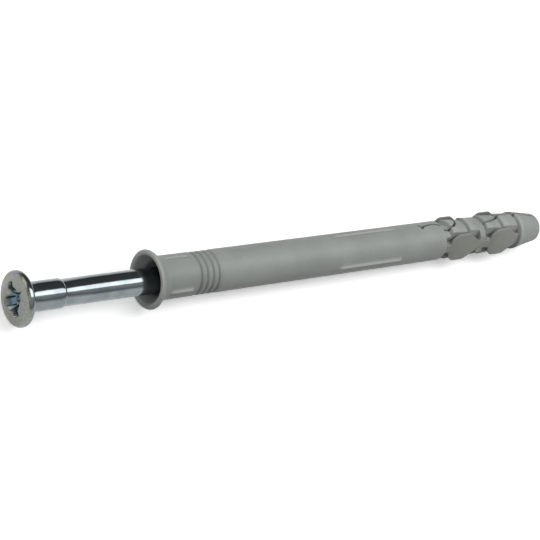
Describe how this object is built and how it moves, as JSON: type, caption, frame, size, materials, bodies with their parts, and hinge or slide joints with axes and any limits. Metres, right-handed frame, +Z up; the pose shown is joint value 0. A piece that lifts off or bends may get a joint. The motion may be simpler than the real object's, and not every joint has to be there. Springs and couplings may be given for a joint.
{
  "type": "hammer fixing plug",
  "caption": "Hammer-in frame fixing: grey nylon sleeve with a collar, ribs and a lobed, toothed expansion zone, and a zinc-plated steel nail with a cross-recess pan head.",
  "frame": {"origin": "centre of the object's length and width, at the height of the surface it lies on", "axes": "+X along the sleeve from the nail's head to the split tip, +Z up, the leaf plates of the expansion zone facing -Y and +Y but for the 18.4 degrees that the part rolls to as it lies"},
  "size_m": [0.1532, 0.013, 0.013],
  "materials": {
    "sleeve": "semi-matt moulded grey nylon",
    "nail": "bright zinc plating with a faint blue passivation"
  },
  "bodies": {
    "root": {"sleeve": "sleeve", "nail": "nail"}
  },
  "joints": []
}
